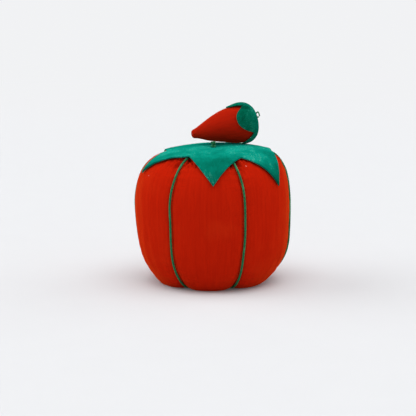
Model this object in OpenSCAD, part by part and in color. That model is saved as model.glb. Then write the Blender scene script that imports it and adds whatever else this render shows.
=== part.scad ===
// Tomato pin cushion with a strawberry emery on a tether.
// Units are millimetres. +Z is up and the origin is the middle of the base, on the table.
// The cushion is a tube of red cotton, gathered at both ends round a packed core. One green cord
// is wound six times up through the middle and down the outside, and draws the tube into six lobes.

/* [Cushion] */
// Widest diameter of the cushion
body_d = 70; // [60:1:85]
// Height of the cover, without the felt
cover_h = 60.4; // [56:0.2:64]
// Height of the widest place
waist_z = 33; // [28:0.5:36]
// Diameter of the ring that the cushion stands on
foot_d = 38; // [30:1:46]
// How far the middle of the base is drawn up
base_dimple = 2.6; // [2:0.1:4]
// How far the middle of the top is drawn down
top_dimple = 0.8; // [0.4:0.1:2]
// Thickness of the gathered cotton
cotton_t = 0.5; // [0.3:0.1:0.8]

/* [Winding cord] */
// Diameter of the cord that makes the lobes
cord_d = 1; // [0.8:0.1:1.2]
// Depth of a lobe's side down to the cord's bed
bed_depth = 1.3; // [1.2:0.05:1.8]
// Angles of the six turns from +X, in order
cord_angles = [-66.7, -5, 56, 116.5, 176.5, 237.4]; // [-90:0.1:270]

/* [Felt leaf cap] */
// Thickness of the felt
felt_t = 1; // [0.8:0.1:1.6]
// Angles of the leaves' tips from +X, as cut by hand
tip_angles = [-90, -34, 30, 88, 146, 199]; // [-90:1:270]
// Flat distances from the middle to the leaves' tips
tip_reach = [38.7, 40.5, 38, 37.5, 36.5, 35.7]; // [34:0.1:41]
// Angles of the notches that follow the tips
notch_angles = [-60, 2, 60, 118, 195, 242.8]; // [-90:0.1:270]
// Flat distances from the middle to the notches
notch_reach = [24.1, 25.5, 24, 23, 20.5, 23]; // [20:0.1:27]

/* [Strawberry] */
// Length of the strawberry's cover
berry_l = 30.5; // [26:0.5:34]
// Largest diameter of the strawberry
berry_d = 18.2; // [15:0.2:20]
// Diameter of its blunt tip
berry_tip_d = 4.7; // [3:0.1:6]
// Lean of its axis, cap end up
berry_lean = 12; // [8:0.5:14]
// Place of its tip, from the cushion's axis
berry_tip_x = -10.3; // [-12:0.1:-8]
// Distance that it lies behind the cushion's axis
berry_y = 8; // [6:0.5:9]
// Thickness of its felt cap
berry_felt_t = 0.8; // [0.6:0.1:1]

/* [Tether] */
// Diameter of the tether
tether_d = 0.6; // [0.5:0.1:0.8]

/* [Hidden] */
$fn = 48;

body_r = body_d / 2;
cord_r = cord_d / 2;
foot_r = foot_d / 2;
hole_r = 1.9;

// Side profile: one superellipse above the waist and one below it
top_fall = 2.55;
top_side = 4.3;
low_fall = 2.67;
low_side = 4.4;
dimple_r = 8;
low_h = waist_z / pow(1 - pow(foot_r / body_r, low_side), 1 / low_fall);

function dimple(r) = r < dimple_r ? (1 + cos(180 * r / dimple_r)) / 2 : 0;
function top_z(r) =
  waist_z + (cover_h - waist_z) * pow(1 - pow(r / body_r, top_side), 1 / top_fall)
  - top_dimple * dimple(r);
function low_r(z) = body_r * pow(1 - pow((waist_z - z) / low_h, low_fall), 1 / low_side);

// The profile as points from the base hole round to the top hole
base_r_steps = [hole_r, 3, 4.5, 6, 8, 12, 16, foot_r - 0.6];
side_z_steps = [0.5, 2, 4.5, 8, 13, 19, 26, 33];
top_r_steps = [0.995, 0.97, 0.92, 0.84, 0.72, 0.56, 0.4, 0.26, 0.16, 0.09];
profile = concat(
  [for (r = base_r_steps) [r, base_dimple * dimple(r)]],
  [for (z = side_z_steps) [low_r(z), z]],
  [for (k = top_r_steps) [k * body_r, top_z(k * body_r)]],
  [[hole_r, top_z(hole_r)]]
);
last = len(profile) - 1;

function unit(v) = v / norm(v);
function tangent(i) = unit(profile[min(i + 1, last)] - profile[max(i - 1, 0)]);
// Outward normal of the profile, straight down on the flat foot
function normal(i) = profile[i][1] == 0 && profile[i][0] < foot_r
  ? [0, -1]
  : [tangent(i)[1], -tangent(i)[0]];

// How deep the cotton lies under the profile: a narrow bed beside each cord, and a broad lobe
// between two cords that is left out on the foot, which stands flat
bed_w = 2.6;
lobe_depth = 0.4;
function lobe_share(i) = profile[i][0] < foot_r && profile[i][1] < waist_z ? 0 : 1;
function bed(i, off, part) =
  let(
    broad = lobe_depth * lobe_share(i),
    away = min(profile[i][0] * off * PI / 180 / bed_w, 1)
  ) (bed_depth - broad) * (1 + cos(180 * away)) / 2 + broad * (1 + cos(180 * part)) / 2;

// Columns of the cover, as parts of the way from a cord to the middle of the lobe on either side
lobes = len(cord_angles);
column_parts = [-1, -0.73, -0.47, -0.25, -0.13, -0.05, 0, 0.05, 0.13, 0.25, 0.47, 0.73];
function half_lobe(k) =
  (cord_angles[k % lobes] - cord_angles[(k + lobes - 1) % lobes] + 360) % 360 / 2;
function column_off(k, part) = part * half_lobe(part < 0 ? k : k + 1);

function skin_point(i, k, part, under) =
  let(
    off = column_off(k, part),
    p = profile[i] - normal(i) * (under + bed(i, abs(off), part)),
    a = cord_angles[k] + off
  ) [p[0] * cos(a), p[0] * sin(a), p[1]];
function skin_row(i, under) = [for (k = [0:lobes - 1], part = column_parts)
  skin_point(i, k, part, under)];

// A closed ring of sections, joined end to end; every section has the same number of points
module ring_skin(sections) {
  rows = len(sections);
  cols = len(sections[0]);
  points = [for (s = sections) each s];
  faces = [for (i = [0:rows - 1], c = [0:cols - 1])
    let(
      a = i * cols + c,
      b = i * cols + (c + 1) % cols,
      d = (i + 1) % rows * cols + c,
      e = (i + 1) % rows * cols + (c + 1) % cols
    ) each [[a, b, e], [a, e, d]]];
  polyhedron(points, faces, convexity = 6);
}

module cushion_cover() {
  outer = [for (i = [0:last]) skin_row(i, 0)];
  inner = [for (i = [last:-1:0]) skin_row(i, cotton_t)];
  color("firebrick") ring_skin(concat(outer, inner));
}

// The packed core keeps clear of the cover's deepest beds and has a bore for the cord's strands
core_gap = 0.2;
core_depth = bed_depth + cotton_t + core_gap;
core_bore_r = 1.9;
// Its ends are hollowed round the bore, where the gathers and their threads sit
core_hollow = 4;
module cushion_stuffing() {
  edge = [for (i = [3:last - 3]) profile[i] - normal(i) * core_depth];
  color("burlywood") rotate_extrude() polygon(concat(
    [[core_bore_r, edge[0][1] + core_hollow]],
    edge,
    [[core_bore_r, edge[len(edge) - 1][1] - core_hollow]]
  ));
}

module thread_ring(r, z, d) {
  translate([0, 0, z]) rotate_extrude() translate([r, 0]) circle(d = d);
}

// Gathering threads lie under the cotton, round the cord's strands
gather_d = 0.5;
gather_r = hole_r + cotton_t + 0.9;
gather_in = bed_depth + cotton_t + gather_d / 2 + 0.35;
module top_gathering_thread() {
  color("darkred") thread_ring(gather_r, top_z(gather_r) - gather_in, gather_d);
}
module base_gathering_thread() {
  color("darkred")
    thread_ring(gather_r, base_dimple * dimple(gather_r) + gather_in, gather_d);
}

// One turn of the winding cord: up through the middle and down the outside, as a closed loop
strand_r = 1.2;
cord_under = 0.55;
turn_in_r = 3;
function cord_side() = [for (i = [1:last - 1])
  if (profile[i][0] >= turn_in_r) profile[i] - normal(i) * cord_under];
wrap_low_z = base_dimple + cord_under;
wrap_top_z = cover_h - top_dimple - cord_under;
wrap_path = concat(
  [[1.75, wrap_low_z + 0.1]],
  cord_side(),
  [[1.75, wrap_top_z - 0.1]],
  [for (z = [wrap_top_z - 1, 50, 40, 30, 20, 10, wrap_low_z + 1]) [strand_r, z]]
);
cord_sides = 8;
module cord_wrap(k) {
  n = len(wrap_path);
  sections = [for (i = [0:n - 1])
    let(
      t = unit(wrap_path[(i + 1) % n] - wrap_path[(i + n - 1) % n]),
      side = [t[1], -t[0]]
    ) [for (j = [0:cord_sides - 1])
      let(
        a = 360 * j / cord_sides,
        q = wrap_path[i] + side * cord_r * cos(a)
      ) [q[0], cord_r * sin(a), q[1]]]];
  color("seagreen") rotate([0, 0, cord_angles[k - 1]]) ring_skin(sections);
}

// Knot that ties off the cord inside the base's hollow
module base_knot() {
  color("seagreen") translate([0, 0, 0.35]) rotate_extrude()
    polygon([[0, 0], [1.3, 0], [1.9, 0.35], [1.9, 0.8], [1.3, 1.15], [0, 1.15]]);
}

// Felt: a domed skin above the cover, cut to a six-pointed star that was flat before it was laid
felt_gap = 0.12;
felt_hole_r = 0.8;
felt_first = 16;
function felt_edge(out) = [for (i = [felt_first:last]) profile[i] + normal(i) * (felt_gap + out)];
arc_r_steps = [for (i = [0:1:40]) i * body_r / 40];
function arc_to(i) = i == 0
  ? 0
  : arc_to(i - 1) + norm([
      arc_r_steps[i] - arc_r_steps[i - 1],
      top_z(arc_r_steps[i]) - top_z(arc_r_steps[i - 1])
    ]);
arc_table = [for (i = [0:len(arc_r_steps) - 1]) [arc_to(i), arc_r_steps[i]]];
// Corners of the flat star, tip and notch by turns; its edges are straight before it is laid
function flat_point(a, reach) = reach * [cos(a), sin(a)];
leaf_corners = [for (k = [0:len(tip_angles) - 1]) each [
  flat_point(tip_angles[k], tip_reach[k]),
  flat_point(notch_angles[k], notch_reach[k])
]];
edge_parts = 7;
function laid(p) = p / norm(p) * lookup(norm(p), arc_table);
module leaf_outline() {
  n = len(leaf_corners);
  polygon([for (k = [0:n - 1], t = [0:edge_parts - 1])
    laid(leaf_corners[k] + (leaf_corners[(k + 1) % n] - leaf_corners[k]) * t / edge_parts)]);
}
module leaf_cap() {
  top_in = profile[last][1] + felt_gap;
  color("teal") intersection() {
    rotate_extrude() polygon(concat(
      felt_edge(0),
      [[felt_hole_r, top_in]],
      [[felt_hole_r, top_in + felt_t]],
      [for (i = [len(felt_edge(0)) - 1:-1:0]) felt_edge(felt_t)[i]]
    ));
    linear_extrude(height = cover_h + 10) leaf_outline();
  }
}

// Knot of the winding cord on the felt, with a neck that the tether's eye goes round
felt_top = top_z(hole_r) + felt_gap + felt_t;
knot_r = 1.3;
neck_r = 0.55;
module top_knot() {
  color("seagreen") rotate_extrude() polygon(concat(
    [[0, felt_top - 1.6], [neck_r, felt_top - 1.6], [neck_r, felt_top + 0.8]],
    [for (a = [-60:20:80]) [knot_r * cos(a), felt_top + 1.75 + 0.95 * sin(a)]],
    [[0, felt_top + 2.7]]
  ));
}

// Strawberry: its own axis is u, from the tip to the cap
berry_r = berry_d / 2;
berry_tip_r = berry_tip_d / 2;
berry_wide = 0.75 * berry_l;
nose_l = 1.4;
berry_fall = 1.4;
berry_round = 2.4;
function nose_r(u) = berry_tip_r * pow(1 - pow(1 - min(u / nose_l, 1), 2.5), 1 / 2.5);
function berry_profile(u) = u < berry_wide
  ? max(nose_r(u), berry_r * pow(1 - pow(1 - u / berry_wide, berry_fall), 1 / berry_fall))
  : berry_r * pow(1 - pow((u - berry_wide) / (berry_l - berry_wide), berry_round), 1 / berry_round);
berry_us = concat(
  [for (a = [0:15:90]) nose_l * (1 - cos(a))],
  [for (k = [1:14]) nose_l + (berry_wide - nose_l) * k / 14],
  [for (a = [12:12:84]) berry_wide + (berry_l - berry_wide) * sin(a)]
);
// Outline points, drawn in by a wall's thickness
function berry_edge(inset) =
  let(
    along = (berry_l - 2 * inset) / berry_l,
    across = 1 - inset / berry_r
  ) [for (u = berry_us) [berry_profile(u) * across, inset + u * along]];

// Places in the cushion's frame
belly_gap = 1;
lean_drop = berry_wide * sin(berry_lean);
felt_skin = cover_h + felt_gap + felt_t;
berry_tip_z = felt_skin + belly_gap + berry_r - lean_drop;
module in_berry() {
  translate([berry_tip_x, berry_y, berry_tip_z]) rotate([0, 90 - berry_lean, 0]) children();
}

berry_cotton_t = 0.45;
berry_hole_r = 0.8;
module berry_cover() {
  color("firebrick") in_berry() rotate_extrude() difference() {
    polygon(concat(berry_edge(0), [[0, berry_l]]));
    polygon(concat(berry_edge(berry_cotton_t), [[0, berry_l - berry_cotton_t]]));
    translate([-1, berry_l - 1]) square([1 + berry_hole_r, 2]);
  }
}
berry_fill_in = berry_cotton_t + 0.05;
module berry_emery() {
  color("dimgray") in_berry() rotate_extrude() difference() {
    polygon(concat(berry_edge(berry_fill_in), [[0, berry_l - berry_fill_in]]));
    translate([0, berry_l - 2.2]) square([3.2, 3]);
  }
}
module berry_gathering_thread() {
  color("darkred") in_berry() translate([0, 0, berry_l - 1.4]) rotate_extrude()
    translate([2, 0]) circle(d = gather_d);
}

// Felt cap of the strawberry: four rounded leaves, laid back from its cap end
berry_felt_gap = 0.08;
berry_leaf_w = 12;
berry_leaf_u = 21.4;
berry_leaf_turn = -6;
berry_leaves = 4;
berry_felt_r = 4.4;
module berry_leaf_cutter() {
  for (k = [1:berry_leaves])
    rotate([0, 0, berry_leaf_turn + 360 / berry_leaves * k]) rotate([90, 0, 90])
      linear_extrude(height = berry_d) {
        translate([0, berry_leaf_u + berry_leaf_w / 2]) circle(d = berry_leaf_w);
        translate([-berry_leaf_w / 2, berry_leaf_u + berry_leaf_w / 2])
          square([berry_leaf_w, berry_l - berry_leaf_u]);
      }
}
felt_from = berry_leaf_u - 0.4;
felt_to = berry_l - 0.9;
function berry_felt_edge(out) = [for (k = [0:9])
  let(u = felt_from + (felt_to - felt_from) * k / 9)
  [berry_profile(u) + berry_felt_gap + out, u]];
berry_felt_end = berry_l + berry_felt_gap;
module berry_leaf_cap() {
  color("darkgreen") in_berry() intersection() {
    rotate_extrude() polygon(concat(
      berry_felt_edge(0),
      [[berry_felt_r, berry_felt_end], [berry_hole_r, berry_felt_end]],
      [[berry_hole_r, berry_felt_end + berry_felt_t], [berry_felt_r, berry_felt_end + berry_felt_t]],
      [for (i = [len(berry_felt_edge(0)) - 1:-1:0]) berry_felt_edge(berry_felt_t)[i]]
    ));
    berry_leaf_cutter();
  }
}
// Stitch that holds the felt and the gathers, under the felt
module berry_stitch() {
  color("darkred") in_berry() translate([0, 0, berry_l - 2.1]) cylinder(r = 1.1, h = 0.6);
}

// Tether: its eye goes round the neck of the top knot, and its far end is knotted at the strawberry
tether_r = tether_d / 2;
eye_r = neck_r + tether_r + 0.12;
eye_z = felt_top + tether_r + 0.08;
module tether_eye() {
  color("mediumseagreen") thread_ring(eye_r, eye_z, tether_d);
}
// The far knot sits in the hole of the strawberry's felt and is the pivot that the strawberry tilts on
tether_knot_r = 0.45;
pivot_u = berry_l + 0.7;
pivot = [
  berry_tip_x + pivot_u * cos(berry_lean),
  berry_y,
  berry_tip_z + pivot_u * sin(berry_lean)
];
module tether_knot() {
  color("mediumseagreen") translate(pivot) sphere(r = tether_knot_r);
}
// From the eye straight back, round on the felt behind the strawberry, up its side and to its cap
tether_route = [
  [0, 1.3, 61.2], [0, 3, 61.6], [0.1, 5.5, 61.8], [0.3, 8.5, 61.9], [0.8, 11.5, 61.9],
  [1.7, 14.5, 61.8], [3.2, 17.3, 61.4], [5.4, 19.6, 60.9], [8.2, 20.9, 60.4], [11, 21, 60],
  [13.4, 20.3, 59.9], [14.9, 19.5, 61.2], [15.8, 18.9, 63.8], [16.5, 18.4, 66.6],
  [17.4, 17.5, 69.6], [18.4, 16.4, 72.1], [19.4, 14.7, 74.2], [20.1, 12.6, 75.6],
  [20.5, 10.6, 76], [20.8, 8.8, 75.2], [20.9, 8, 73.8]
];
// Rings lie on a smooth curve through the route's points, two to a stretch
rings_each = 2;
function curve_at(p, i, t) =
  let(
    n = len(p) - 1,
    a = p[max(i - 1, 0)],
    b = p[i],
    c = p[min(i + 1, n)],
    d = p[min(i + 2, n)]
  ) 0.5 * (2 * b + (c - a) * t + (2 * a - 5 * b + 4 * c - d) * t * t
    + (3 * b - a - 3 * c + d) * t * t * t);
function smooth_route(p) = concat(
  [for (i = [0:len(p) - 2], k = [0:rings_each - 1]) curve_at(p, i, k / rings_each)],
  [p[len(p) - 1]]
);
function heading(p, i) = unit(p[min(i + 1, len(p) - 1)] - p[max(i - 1, 0)]);
// A side vector carried along the curve without twist
function carried(p, i) = i == 0
  ? unit(cross(heading(p, 0), [0, 0, 1]))
  : let(v = carried(p, i - 1), t = heading(p, i)) unit(v - (v * t) * t);
module tube(p, r) {
  n = len(p);
  points = [for (i = [0:n - 1])
    let(u = carried(p, i), v = cross(heading(p, i), u))
    for (j = [0:cord_sides - 1])
      let(a = 360 * j / cord_sides) p[i] + r * (u * cos(a) + v * sin(a))];
  faces = concat(
    [[for (j = [0:cord_sides - 1]) j]],
    [for (i = [0:n - 2], j = [0:cord_sides - 1])
      let(k = (j + 1) % cord_sides, a = i * cord_sides, b = a + cord_sides)
      each [[a + j, b + j, b + k], [a + j, b + k, a + k]]],
    [[for (j = [cord_sides - 1:-1:0]) (n - 1) * cord_sides + j]]
  );
  polyhedron(points, faces, convexity = 8);
}
module tether_cord() {
  color("mediumseagreen") tube(smooth_route(tether_route), tether_r);
}

cushion_cover();
cushion_stuffing();
top_gathering_thread();
base_gathering_thread();
cord_wrap(1);  // cord_wrap_1
cord_wrap(2);  // cord_wrap_2
cord_wrap(3);  // cord_wrap_3
cord_wrap(4);  // cord_wrap_4
cord_wrap(5);  // cord_wrap_5
cord_wrap(6);  // cord_wrap_6
base_knot();
leaf_cap();
top_knot();
tether_eye();
tether_cord();
tether_knot();
berry_cover();
berry_emery();
berry_gathering_thread();
berry_leaf_cap();
berry_stitch();
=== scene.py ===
import math

import bmesh
import bpy
import numpy as np
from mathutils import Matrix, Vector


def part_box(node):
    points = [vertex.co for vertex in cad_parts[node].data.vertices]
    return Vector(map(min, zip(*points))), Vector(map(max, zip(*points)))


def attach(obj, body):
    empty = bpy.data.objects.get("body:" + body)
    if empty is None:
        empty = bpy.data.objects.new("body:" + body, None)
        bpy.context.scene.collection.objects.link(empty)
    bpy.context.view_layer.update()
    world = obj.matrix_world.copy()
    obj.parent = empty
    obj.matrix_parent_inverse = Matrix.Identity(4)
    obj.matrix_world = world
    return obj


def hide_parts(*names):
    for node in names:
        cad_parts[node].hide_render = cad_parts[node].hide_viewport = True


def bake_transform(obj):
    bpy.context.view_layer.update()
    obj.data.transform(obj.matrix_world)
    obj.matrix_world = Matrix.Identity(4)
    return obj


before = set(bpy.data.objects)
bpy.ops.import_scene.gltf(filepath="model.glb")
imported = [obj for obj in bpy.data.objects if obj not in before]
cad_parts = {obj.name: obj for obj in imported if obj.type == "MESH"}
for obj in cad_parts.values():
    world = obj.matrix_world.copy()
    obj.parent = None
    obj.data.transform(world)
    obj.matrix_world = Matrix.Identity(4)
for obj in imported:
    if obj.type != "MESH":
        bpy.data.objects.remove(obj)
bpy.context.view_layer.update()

MM = 0.001
TURN = 2 * np.pi
UV_MM = 10  # mm to one unit of UV

# ---- sizes of the cushion
BODY_R = 35.0
WAIST_Z = 33.0
COVER_H = 60.4
FOOT_R = 19.0
BASE_DIMPLE = 2.6
TOP_DIMPLE = 0.8
DIMPLE_R = 8.0
HOLE_R = 1.9
CORD_ANGLES = [-66.7, -5.0, 56.0, 116.5, 176.5, 237.4]
CORD_UNDER = 0.55
CORD_R = 0.5
BED_DEPTH = 1.25
REST_Z = 0.01  # height of the lowest points, just clear of the floor

# The felt star: each corner's angle in degrees, its reach, and the bow of the side that follows it.
# The leaves at the back are turned a little from part.scad's, to keep behind the silhouette.
STAR = (
    (-90.0, 38.7, 0.2), (-60.0, 24.1, 0.5), (-34.0, 40.5, -1.2), (12.0, 25.0, 0.5),
    (42.0, 38.0, 0.2), (66.0, 24.0, 0.4), (88.0, 37.5, 0.3), (112.0, 23.0, 0.5),
    (133.0, 36.5, -0.6), (198.0, 21.2, -0.7), (200.0, 35.7, 0.3), (242.8, 23.0, 0.9),
)
STAR_STEPS = 38
FELT_T = 0.8
FELT_LIFT = 0.036
FELT_HOLE_R = 0.8

# ---- sizes of the strawberry and tether
BERRY_L = 30.5
BERRY_R = 8.9
BERRY_TIP_R = 2.25
BERRY_NOSE = 1.4
BERRY_WIDE = 22.9
BERRY_LEAN = math.radians(12)
BERRY_TIP = np.array([-10.3, 8.0, 66.864])
BERRY_FELT_T = 0.4
TETHER_R = 0.3
TETHER_ROUTE = [
    (0, 1.3, 61.2), (0, 3, 61.6), (0.1, 5.5, 61.8), (0.3, 8.5, 61.9), (0.8, 11.5, 61.9),
    (1.7, 14.5, 61.8), (3.2, 17.3, 61.4), (5.4, 19.6, 60.9), (8.2, 20.9, 60.4), (11, 21, 60),
    (13.4, 20.3, 59.9), (14.9, 19.5, 61.2), (15.8, 18.9, 63.8), (16.5, 18.4, 66.6),
    (17.4, 17.5, 69.6), (18.4, 16.4, 71.8), (19.3, 14.7, 73.8), (19.9, 12.6, 75.0),
    (20.3, 10.6, 75.4), (20.7, 8.8, 74.8), (20.9, 8, 73.8),
]
TAIL_STARTS = 16  # the route's point where the tether's last stretch begins


# ---- numbers and curves
def smooth(x):
    x = np.clip(x, 0.0, 1.0)
    return x * x * (3 - 2 * x)


def round_angles(n):
    return TURN * np.arange(n) / n


def wrapped(angle):
    """The same angle between minus half a turn and half a turn."""
    return (angle + np.pi) % TURN - np.pi


def cubic_weights(t):
    return (
        0.5 * (-t + 2 * t**2 - t**3),
        0.5 * (2 - 5 * t**2 + 3 * t**3),
        0.5 * (t + 4 * t**2 - 3 * t**3),
        0.5 * (-(t**2) + t**3),
    )


def unevenness(u, v, nu, nv, seed):
    """Smooth noise from -1 to 1 that repeats in u; u and v run from 0 to 1 over nu and nv cells."""
    u, v = np.broadcast_arrays(np.asarray(u, float), np.asarray(v, float))
    grid = np.random.default_rng(seed).uniform(-1, 1, (nv + 4, nu))
    x = (u % 1.0) * nu
    i = np.floor(x).astype(int)
    y = np.clip(v, 0, 1) * nv
    j = np.minimum(np.floor(y).astype(int), nv - 1)
    total = np.zeros(u.shape)
    for a, wx in enumerate(cubic_weights(x - i)):
        for b, wy in enumerate(cubic_weights(y - j)):
            total += wx * wy * grid[j + b, (i + a - 1) % nu]
    return total


def bell(x, width):
    return np.exp(-((x / width) ** 2))


def bulged(x, power, root):
    """A superellipse: 1 at 0, falling to 0 at 1."""
    return (1 - x**power) ** (1 / root)


def furrow(off, lip, apart):
    """A gather's cross-section: a dip at 0 between two low ridges."""
    return np.exp(-(off**2)) - lip * np.exp(-((np.abs(off) - apart) ** 2))


def catmull(points, per):
    """A smooth curve through the points, with per steps to a stretch."""
    p = np.array(points, float)
    n = len(p) - 1
    out = []
    for i in range(n):
        ends = (p[max(i - 1, 0)], p[i], p[i + 1], p[min(i + 2, n)])
        for step in range(per):
            out.append(sum(w * end for w, end in zip(cubic_weights(step / per), ends)))
    out.append(p[n])
    return np.array(out)


def lengths(path):
    steps = np.linalg.norm(np.diff(path, axis=0), axis=1)
    return np.concatenate([[0.0], np.cumsum(steps)])


def respaced(path, step):
    along = lengths(path)
    n = max(2, int(round(along[-1] / step)) + 1)
    at = np.linspace(0, along[-1], n)
    return np.stack([np.interp(at, along, path[:, c]) for c in range(path.shape[1])], axis=1)


def flat_points(angles, reach):
    return np.stack([reach * np.cos(angles), reach * np.sin(angles)], -1)


class Profile:
    """A side outline (radius, height), walked by arc length, with its outward normal."""

    STEP = 0.1

    def __init__(self, outline, soften):
        line = respaced(np.array(outline, float), self.STEP)
        reach = int(3 * soften / self.STEP)
        x = np.arange(-reach, reach + 1) * self.STEP
        kernel = np.exp(-0.5 * (x / soften) ** 2)
        kernel /= kernel.sum()
        soft = []
        for v in line.T:
            before = 2 * v[0] - v[reach:0:-1]
            after = 2 * v[-1] - v[-2:-reach - 2:-1]
            soft.append(np.convolve(np.concatenate([before, v, after]), kernel, "valid"))
        self.line = np.stack(soft, axis=1)
        self.s = lengths(self.line)
        self.total = self.s[-1]
        d = np.gradient(self.line, axis=0)
        d /= np.linalg.norm(d, axis=1)[:, None]
        self.columns = (self.line[:, 0], self.line[:, 1], d[:, 1], -d[:, 0])

    def at(self, s):
        """Radius, height, and the normal's radius and height parts."""
        return tuple(np.interp(s, self.s, column) for column in self.columns)

    def s_of_r(self, r, top):
        half = self.s > self.total / 2
        part = half if top else ~half
        rs, ss = self.line[part, 0], self.s[part]
        order = np.argsort(rs)
        return float(np.interp(r, rs[order], ss[order]))


def dimple(r):
    return np.where(r < DIMPLE_R, (1 + np.cos(np.pi * r / DIMPLE_R)) / 2, 0.0)


def body_outline():
    """From the middle of the base round the waist to the middle of the top."""
    low_fall, low_side = 2.67, 4.4
    base_r = np.arange(0, FOOT_R, 0.1)
    low_h = WAIST_Z / bulged(FOOT_R / BODY_R, low_side, low_fall)
    low_z = np.arange(0, WAIST_Z, 0.1)
    low_r = BODY_R * bulged((WAIST_Z - low_z) / low_h, low_fall, low_side)
    top_r = BODY_R * (1 - np.linspace(0, 1, 400) ** 3)
    rise = (COVER_H - WAIST_Z) * bulged(top_r / BODY_R, 4.3, 2.55)
    return (
        list(zip(base_r, BASE_DIMPLE * dimple(base_r)))
        + list(zip(low_r, low_z))
        + list(zip(top_r, WAIST_Z + rise - TOP_DIMPLE * dimple(top_r)))
    )


BODY = Profile(body_outline(), 0.5)

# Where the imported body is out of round: angle, spread in degrees, height, spread in mm, and how far
# out and up it stands there
SWELLS = (
    (180, 45, 37, 12, 0.75, 0.0),
    (186, 36, 53, 7, 0.8, 0.0),
    (5, 42, 53, 7, 1.0, 0.55),
    (0, 42, 15, 7, 0.45, 0.0),
    (150, 42, 59, 8, 0.0, -0.75),
    (14, 32, 56.5, 3.2, 0.3, 0.9),
)
EVEN_R = 14  # nearer the axis than this, the swells fade


def packed(points):
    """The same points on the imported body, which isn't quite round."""
    x, y, z = points[..., 0], points[..., 1], points[..., 2]
    angle = np.degrees(np.arctan2(y, x))
    r = np.maximum(np.hypot(x, y), 1e-6)
    out, up = np.zeros_like(z), np.zeros_like(z)
    for toward, wide, height, tall, stands_out, stands_up in SWELLS:
        off = (angle - toward + 180) % 360 - 180
        share = np.exp(-((off / wide) ** 2) - ((z - height) / tall) ** 2) * smooth(r / EVEN_R)
        out, up = out + stands_out * share, up + stands_up * share
    return np.stack([x * (1 + out / r), y * (1 + out / r), z + up], -1)


def on_body(s, angle, height):
    """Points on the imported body, height mm off its outline."""
    r, z, nr, nz = BODY.at(s)
    rr = r + nr * height
    parts = rr * np.cos(angle), rr * np.sin(angle), z + nz * height
    return packed(np.stack(np.broadcast_arrays(*parts), -1))


def on_top(s, angle, height):
    """The same with s counted from the middle of the top."""
    return on_body(BODY.total - s, angle, height)


# ---- meshes
def finish_mesh(name, verts, faces, uv, material):
    mesh = bpy.data.meshes.new(name)
    mesh.from_pydata([tuple(v) for v in verts], [], faces)
    layer = mesh.uv_layers.new(name="cloth")
    layer.data.foreach_set("uv", np.asarray(uv, np.float32).ravel())
    mesh.polygons.foreach_set("use_smooth", np.ones(len(mesh.polygons), bool))
    mesh.update()
    obj = bpy.data.objects.new(name, mesh)
    bpy.context.scene.collection.objects.link(obj)
    if material is not None:
        mesh.materials.append(material)
    return obj


def uv_grid(u, v):
    """UVs from one row of u and one column of v."""
    return np.stack(np.broadcast_arrays(u[None, :], v[:, None]), 2)


def grid_piece(name, points, uv, material, flip=False, cap_ends=False):
    """A mesh from rows of points in mm, closed round each row. uv is rows x (cols + 1) x 2."""
    rows, cols = points.shape[:2]
    r, c = np.meshgrid(np.arange(rows - 1), np.arange(cols), indexing="ij")
    r, c = r.ravel(), c.ravel()
    d = (c + 1) % cols
    quads = np.stack([r * cols + c, r * cols + d, (r + 1) * cols + d, (r + 1) * cols + c], 1)
    corners = [(r, c), (r, c + 1), (r + 1, c + 1), (r + 1, c)]
    loops = np.stack([uv[i, j] for i, j in corners], 1)
    if flip:
        quads, loops = quads[:, ::-1], loops[:, ::-1]
    faces = quads.tolist()
    loops = loops.reshape(-1, 2)
    if cap_ends:
        faces += [list(range(cols))[::-1], list(range((rows - 1) * cols, rows * cols))]
        loops = np.concatenate([loops, np.zeros((2 * cols, 2))])
    return finish_mesh(name, points.reshape(-1, 3) * MM, faces, loops, material)


def close_rows(obj, cols):
    """Joins the last row of a grid piece to the first."""
    bm = bmesh.new()
    bm.from_mesh(obj.data)
    bm.verts.ensure_lookup_table()
    last = len(bm.verts) - cols
    for c in range(cols):
        d = (c + 1) % cols
        face = bm.faces.new([bm.verts[i] for i in (last + c, last + d, d, c)])
        face.smooth = True
    bm.to_mesh(obj.data)
    bm.free()


def tube_rings(path, radius, sides, ply, lay, groove):
    """Rings of a cord of twisted strands along a path; groove is how deep the strands part."""
    ahead = np.gradient(path, axis=0)
    ahead /= np.linalg.norm(ahead, axis=1)[:, None]
    side = np.cross(ahead[0], [0.31, 0.17, 0.93])  # any direction that no path starts in
    along = lengths(path)
    turn = round_angles(sides)
    rings = []
    for p, t, gone in zip(path, ahead, along):
        side = side - t * side.dot(t)
        side /= np.linalg.norm(side)
        other = np.cross(t, side)
        strand = np.abs(np.cos(ply / 2 * (turn - TURN * gone / lay))) ** 0.7
        r = (radius * (1 - groove + groove * strand))[:, None]
        rings.append(p + r * (np.cos(turn)[:, None] * side + np.sin(turn)[:, None] * other))
    return np.array(rings), along


def twisted_cord(name, path, radius, material, sides=18, ply=3, lay=3.2, groove=0.24,
                 round_ends=True):
    rings, along = tube_rings(path, radius, sides, ply, lay, groove)
    if round_ends:
        caps = []
        for end, inner in ((0, 1), (-1, -2)):
            middle = rings[end].mean(0)
            out = middle - rings[inner].mean(0)
            out *= radius * 0.35 / np.linalg.norm(out)
            caps.append((middle + (rings[end] - middle) * 0.45 + out)[None])
        rings = np.concatenate([caps[0], rings, caps[1]])
        along = np.concatenate([[along[0] - radius / 2], along, [along[-1] + radius / 2]])
    uv = uv_grid(np.linspace(0, 1, sides + 1), along / UV_MM)
    return grid_piece(name, rings, uv, material, cap_ends=True)


# How the thinner cords are twisted
KNOT_CORD = dict(sides=14)
THREAD = dict(sides=12, ply=2, lay=1.8, groove=0.2)
FINE_THREAD = dict(sides=10, ply=2, lay=1.6, groove=0.2)


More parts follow.
